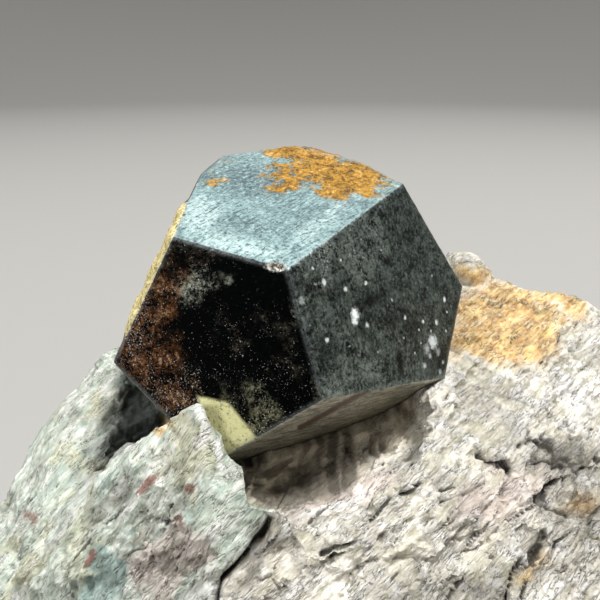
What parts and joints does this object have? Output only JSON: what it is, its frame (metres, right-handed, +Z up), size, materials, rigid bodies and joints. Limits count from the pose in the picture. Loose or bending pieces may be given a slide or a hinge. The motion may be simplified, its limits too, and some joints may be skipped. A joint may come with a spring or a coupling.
{
  "type": "pyrite on matrix",
  "caption": "Dark pyritohedral pyrite crystal with an orange limonite crust, set in a socket in a pale piece of schist that rests on its flat base.",
  "frame": {"origin": "middle of the specimen's box, on the plane it rests on", "axes": "+Z up; +X to the right and +Y away as seen in the picture, with the crystal's peak-side corner towards -Y"},
  "size_m": [0.0584, 0.039, 0.0395],
  "materials": {
    "pyrite": "dark tarnished pyrite faces, dusty grey-blue on top with an orange limonite crust and small white specks",
    "schist": "rough broken schist, cream to grey-green, with orange iron stain and reddish spots"
  },
  "bodies": {
    "root": {"pyrite_crystal": "pyrite", "schist_matrix": "schist"}
  },
  "joints": []
}
